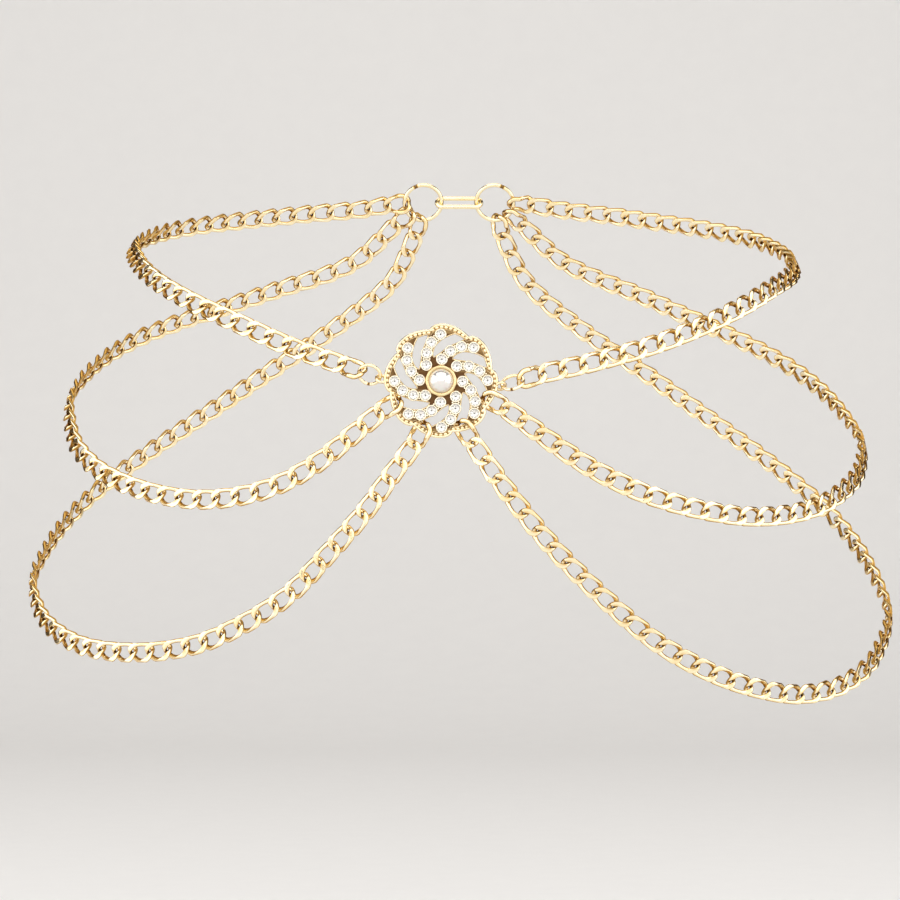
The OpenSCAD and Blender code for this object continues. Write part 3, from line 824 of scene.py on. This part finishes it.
def foil_star(r):
    """The mirrored back of a stone: rings of sixteen facets, some painted greyer, and a dark middle
    painted to stand for the stone's dark reflection at its centre.
    """
    # Each ring is a share of the stone's radius, its height as such a share, and its shade.
    rings = [(0.0, -0.26, 1.0), (0.16, -0.25, 1.0), (0.2, -0.24, 0.0),
             (0.6, -0.18, 0.0), (0.78, -0.17, 0.0), (0.97, -0.2, 0.0)]
    points, faces, shade = [], [], []
    for k in range(16):
        for i in range(len(rings) - 1):
            low, high = rings[i], rings[i + 1]
            corner = []
            for ring, step in ((low, k), (high, k), (high, k + 1), (low, k + 1)):
                dip = -0.03 if (step % 2 and 0.1 < ring[0] < 0.9) else 0.0
                corner.append([*polar(ring[0] * r, 22.5 * step), (ring[1] + dip) * r])
            faces.append([len(points) + j for j in range(4)])
            points += corner
            shade += [max(low[2], high[2]) if i < 1 else 0.12 * ((k + i) % 3)] * 4
    return points, faces, shade


foil_points, foil_faces, foil_shade = foil_star(STONE_R)
glass = Gather()
foil = Gather()
nodes = []
for arm in range(ARMS):
    for place in range(len(STONES)):
        spot = [*stone_spot(place, arm), GIRDLE]
        spin = 17 * arm + 31 * place
        glass.add(turned(cut_points, spin) + spot, cut_faces)
        foil.add(turned(foil_points, spin) + spot, foil_faces, foil_shade)
        nodes.append(f"stone_{arm + 1}_{place + 1}")
glass.piece("stones_cut", clear_stone, "stone", nodes, on_front, flat=True)
foil.piece("stones_foil", stone_foil, "stone", nodes, on_front, flat=True)

# The stage: a pale floor that sweeps up behind, and soft studio light.
FLOOR, FLOOR_FRONT, FLOOR_BACK, FLOOR_BEND, WALL_TOP, HALF_STAGE = -0.30, -2.0, 1.6, 0.9, 4.0, 1.1
profile = [(FLOOR_FRONT, FLOOR), (FLOOR_BACK, FLOOR)]
for a in range(6, 91, 6):
    profile.append((FLOOR_BACK + FLOOR_BEND * sin(a), FLOOR + FLOOR_BEND - FLOOR_BEND * cos(a)))
profile.append((FLOOR_BACK + FLOOR_BEND, WALL_TOP))
stage_mesh = bpy.data.meshes.new("floor")
stage_mesh.from_pydata([(x, y, z) for y, z in profile for x in (-HALF_STAGE, HALF_STAGE)], [],
                       [[2 * i, 2 * i + 1, 2 * i + 3, 2 * i + 2] for i in range(len(profile) - 1)])
stage_mesh.polygons.foreach_set("use_smooth", [True] * len(stage_mesh.polygons))
floor_paper, floor_tree, floor_shader = new_material("floor_paper")
floor_grain = noise(floor_tree, floor_tree.nodes.new("ShaderNodeTexCoord"), 60, 3)
paper = blend_colour(floor_tree, floor_grain.outputs["Fac"], (0.84, 0.83, 0.81), (0.81, 0.8, 0.785))
floor_tree.links.new(paper, floor_shader.inputs["Base Color"])
floor_shader.inputs["Roughness"].default_value = 0.75
stage_mesh.materials.append(floor_paper)
floor = bpy.data.objects.new("floor", stage_mesh)
bpy.context.scene.collection.objects.link(floor)


AIM = Vector((0, -0.05, -0.06))


def light(name, where, power, wide, high):
    data = bpy.data.lights.new(name, "AREA")
    data.energy = power
    data.shape = "RECTANGLE"
    data.size = wide
    data.size_y = high
    lamp = bpy.data.objects.new(name, data)
    lamp.location = where
    lamp.rotation_euler = (AIM - Vector(where)).to_track_quat("-Z", "Y").to_euler()
    bpy.context.scene.collection.objects.link(lamp)


light("front_left_box", (-0.64, -2.5, 0.8), 14, 1.12, 2.4)
light("front_right_box", (0.63, -2.5, 0.8), 14, 1.12, 2.4)
light("front_middle_box", (-0.005, -2.5, 0.8), 1.6, 0.16, 2.4)
light("left_box", (-1.69, -0.67, 0.35), 31, 3.0, 1.8)
light("right_box", (1.69, -0.67, 0.35), 31, 3.0, 1.8)
light("top_box", (0.0, -1.1, 1.9), 24, 3.2, 1.4)
light("floor_wash", (0.0, 1.2, 2.4), 32, 3.0, 1.2)

# The world is pale where the camera sees past the stage, and dim and warm for what it lights.
world = bpy.data.worlds.new("studio")
world.use_nodes = True
sky = world.node_tree.nodes["Background"]
sky.inputs["Color"].default_value = (1.0, 0.78, 0.6, 1)
sky.inputs["Strength"].default_value = 0.08
pale = world.node_tree.nodes.new("ShaderNodeBackground")
pale.inputs["Color"].default_value = (1.0, 0.99, 0.97, 1)
seen = world.node_tree.nodes.new("ShaderNodeLightPath")
either = world.node_tree.nodes.new("ShaderNodeMixShader")
world.node_tree.links.new(seen.outputs["Is Camera Ray"], either.inputs[0])
world.node_tree.links.new(sky.outputs[0], either.inputs[1])
world.node_tree.links.new(pale.outputs[0], either.inputs[2])
world.node_tree.links.new(either.outputs[0], world.node_tree.nodes["World Output"].inputs["Surface"])
bpy.context.scene.world = world
bpy.context.scene.view_settings.view_transform = "Standard"
